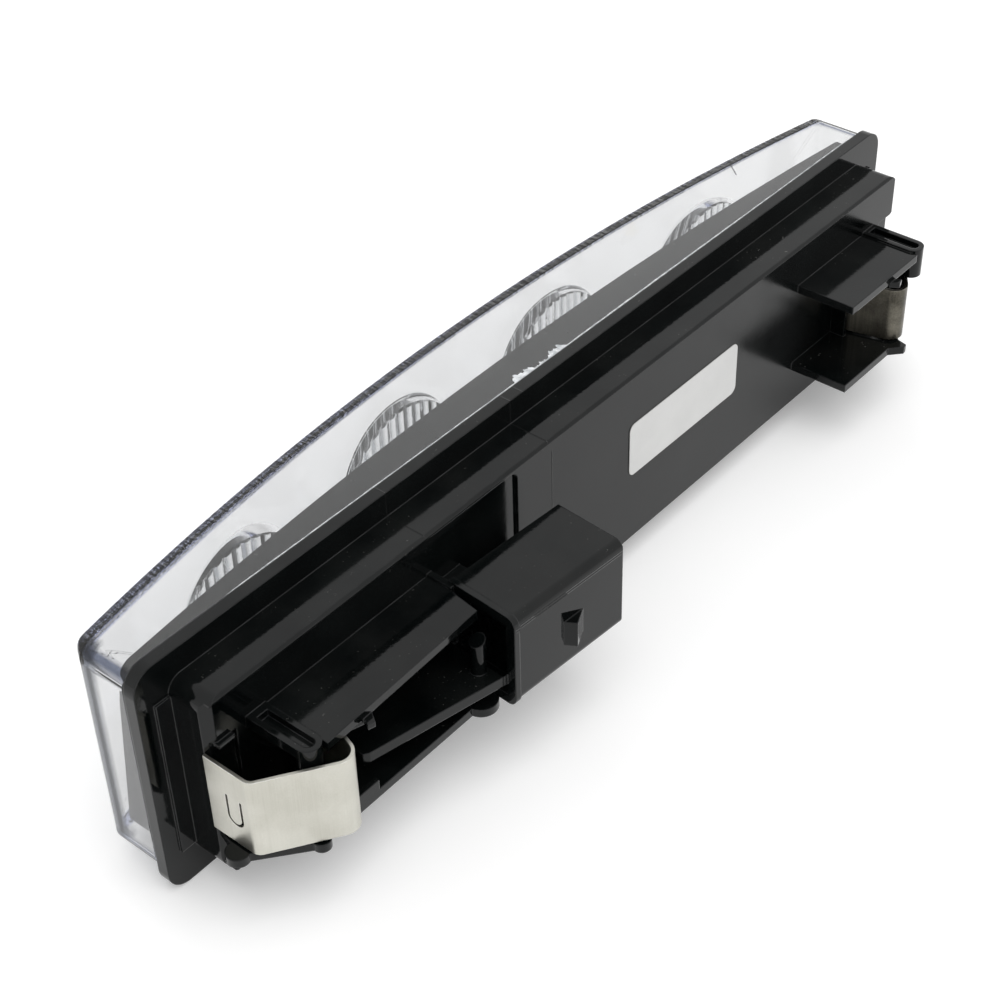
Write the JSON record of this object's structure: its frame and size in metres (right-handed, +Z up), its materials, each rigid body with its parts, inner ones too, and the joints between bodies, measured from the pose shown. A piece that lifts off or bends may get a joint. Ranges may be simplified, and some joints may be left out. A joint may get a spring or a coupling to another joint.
{
  "type": "daytime running light",
  "caption": "Slim bowed daytime running light with a clear lens, flanged black housing, spring clips and a side plug socket.",
  "frame": {"origin": "middle of the plane in which the back of the flange meets the vehicle's panel", "axes": "+X along the lamp towards the end with the socket's shroud, +Y out of the back of the housing, -Y the way the light shines, +Z up"},
  "size_m": [0.22, 0.0569, 0.051],
  "materials": {
    "housing": "glossy black moulded plastic",
    "outer_lens": "polished clear plastic, fluted on the inside of four discs",
    "lens_seal": "dark grey adhesive bead",
    "reflector": "bright metallised plastic",
    "reflector_screws": "bright zinc",
    "led_board": "white solder mask",
    "heat_spreader": "bare rolled plate",
    "board_screws": "bright zinc",
    "led": "pale package with a yellow phosphor under a clear dome",
    "driver_chip": "black moulded package",
    "driver_coil": "grey ferrite with a copper winding",
    "driver_capacitors": "bright can with a printed end",
    "driver_diode": "black moulded package",
    "driver_resistors": "black film with bright end caps",
    "contact_pin": "tinned brass strip",
    "spring_clip": "bright spring strip",
    "label": "blank white sticker"
  },
  "bodies": {
    "root": {"housing": "housing", "outer_lens": "outer_lens", "lens_seal": "lens_seal", "reflector": "reflector", "reflector_screws": "reflector_screws", "led_board": "led_board", "heat_spreader": "heat_spreader", "board_screws": "board_screws", "led_1": "led", "led_2": "led", "led_3": "led", "led_4": "led", "driver_chip": "driver_chip", "driver_coil": "driver_coil", "driver_capacitors": "driver_capacitors", "driver_diode": "driver_diode", "driver_resistors": "driver_resistors", "supply_pin": "contact_pin", "ground_pin": "contact_pin", "near_clip": "spring_clip", "far_clip": "spring_clip", "label": "label"}
  },
  "joints": []
}
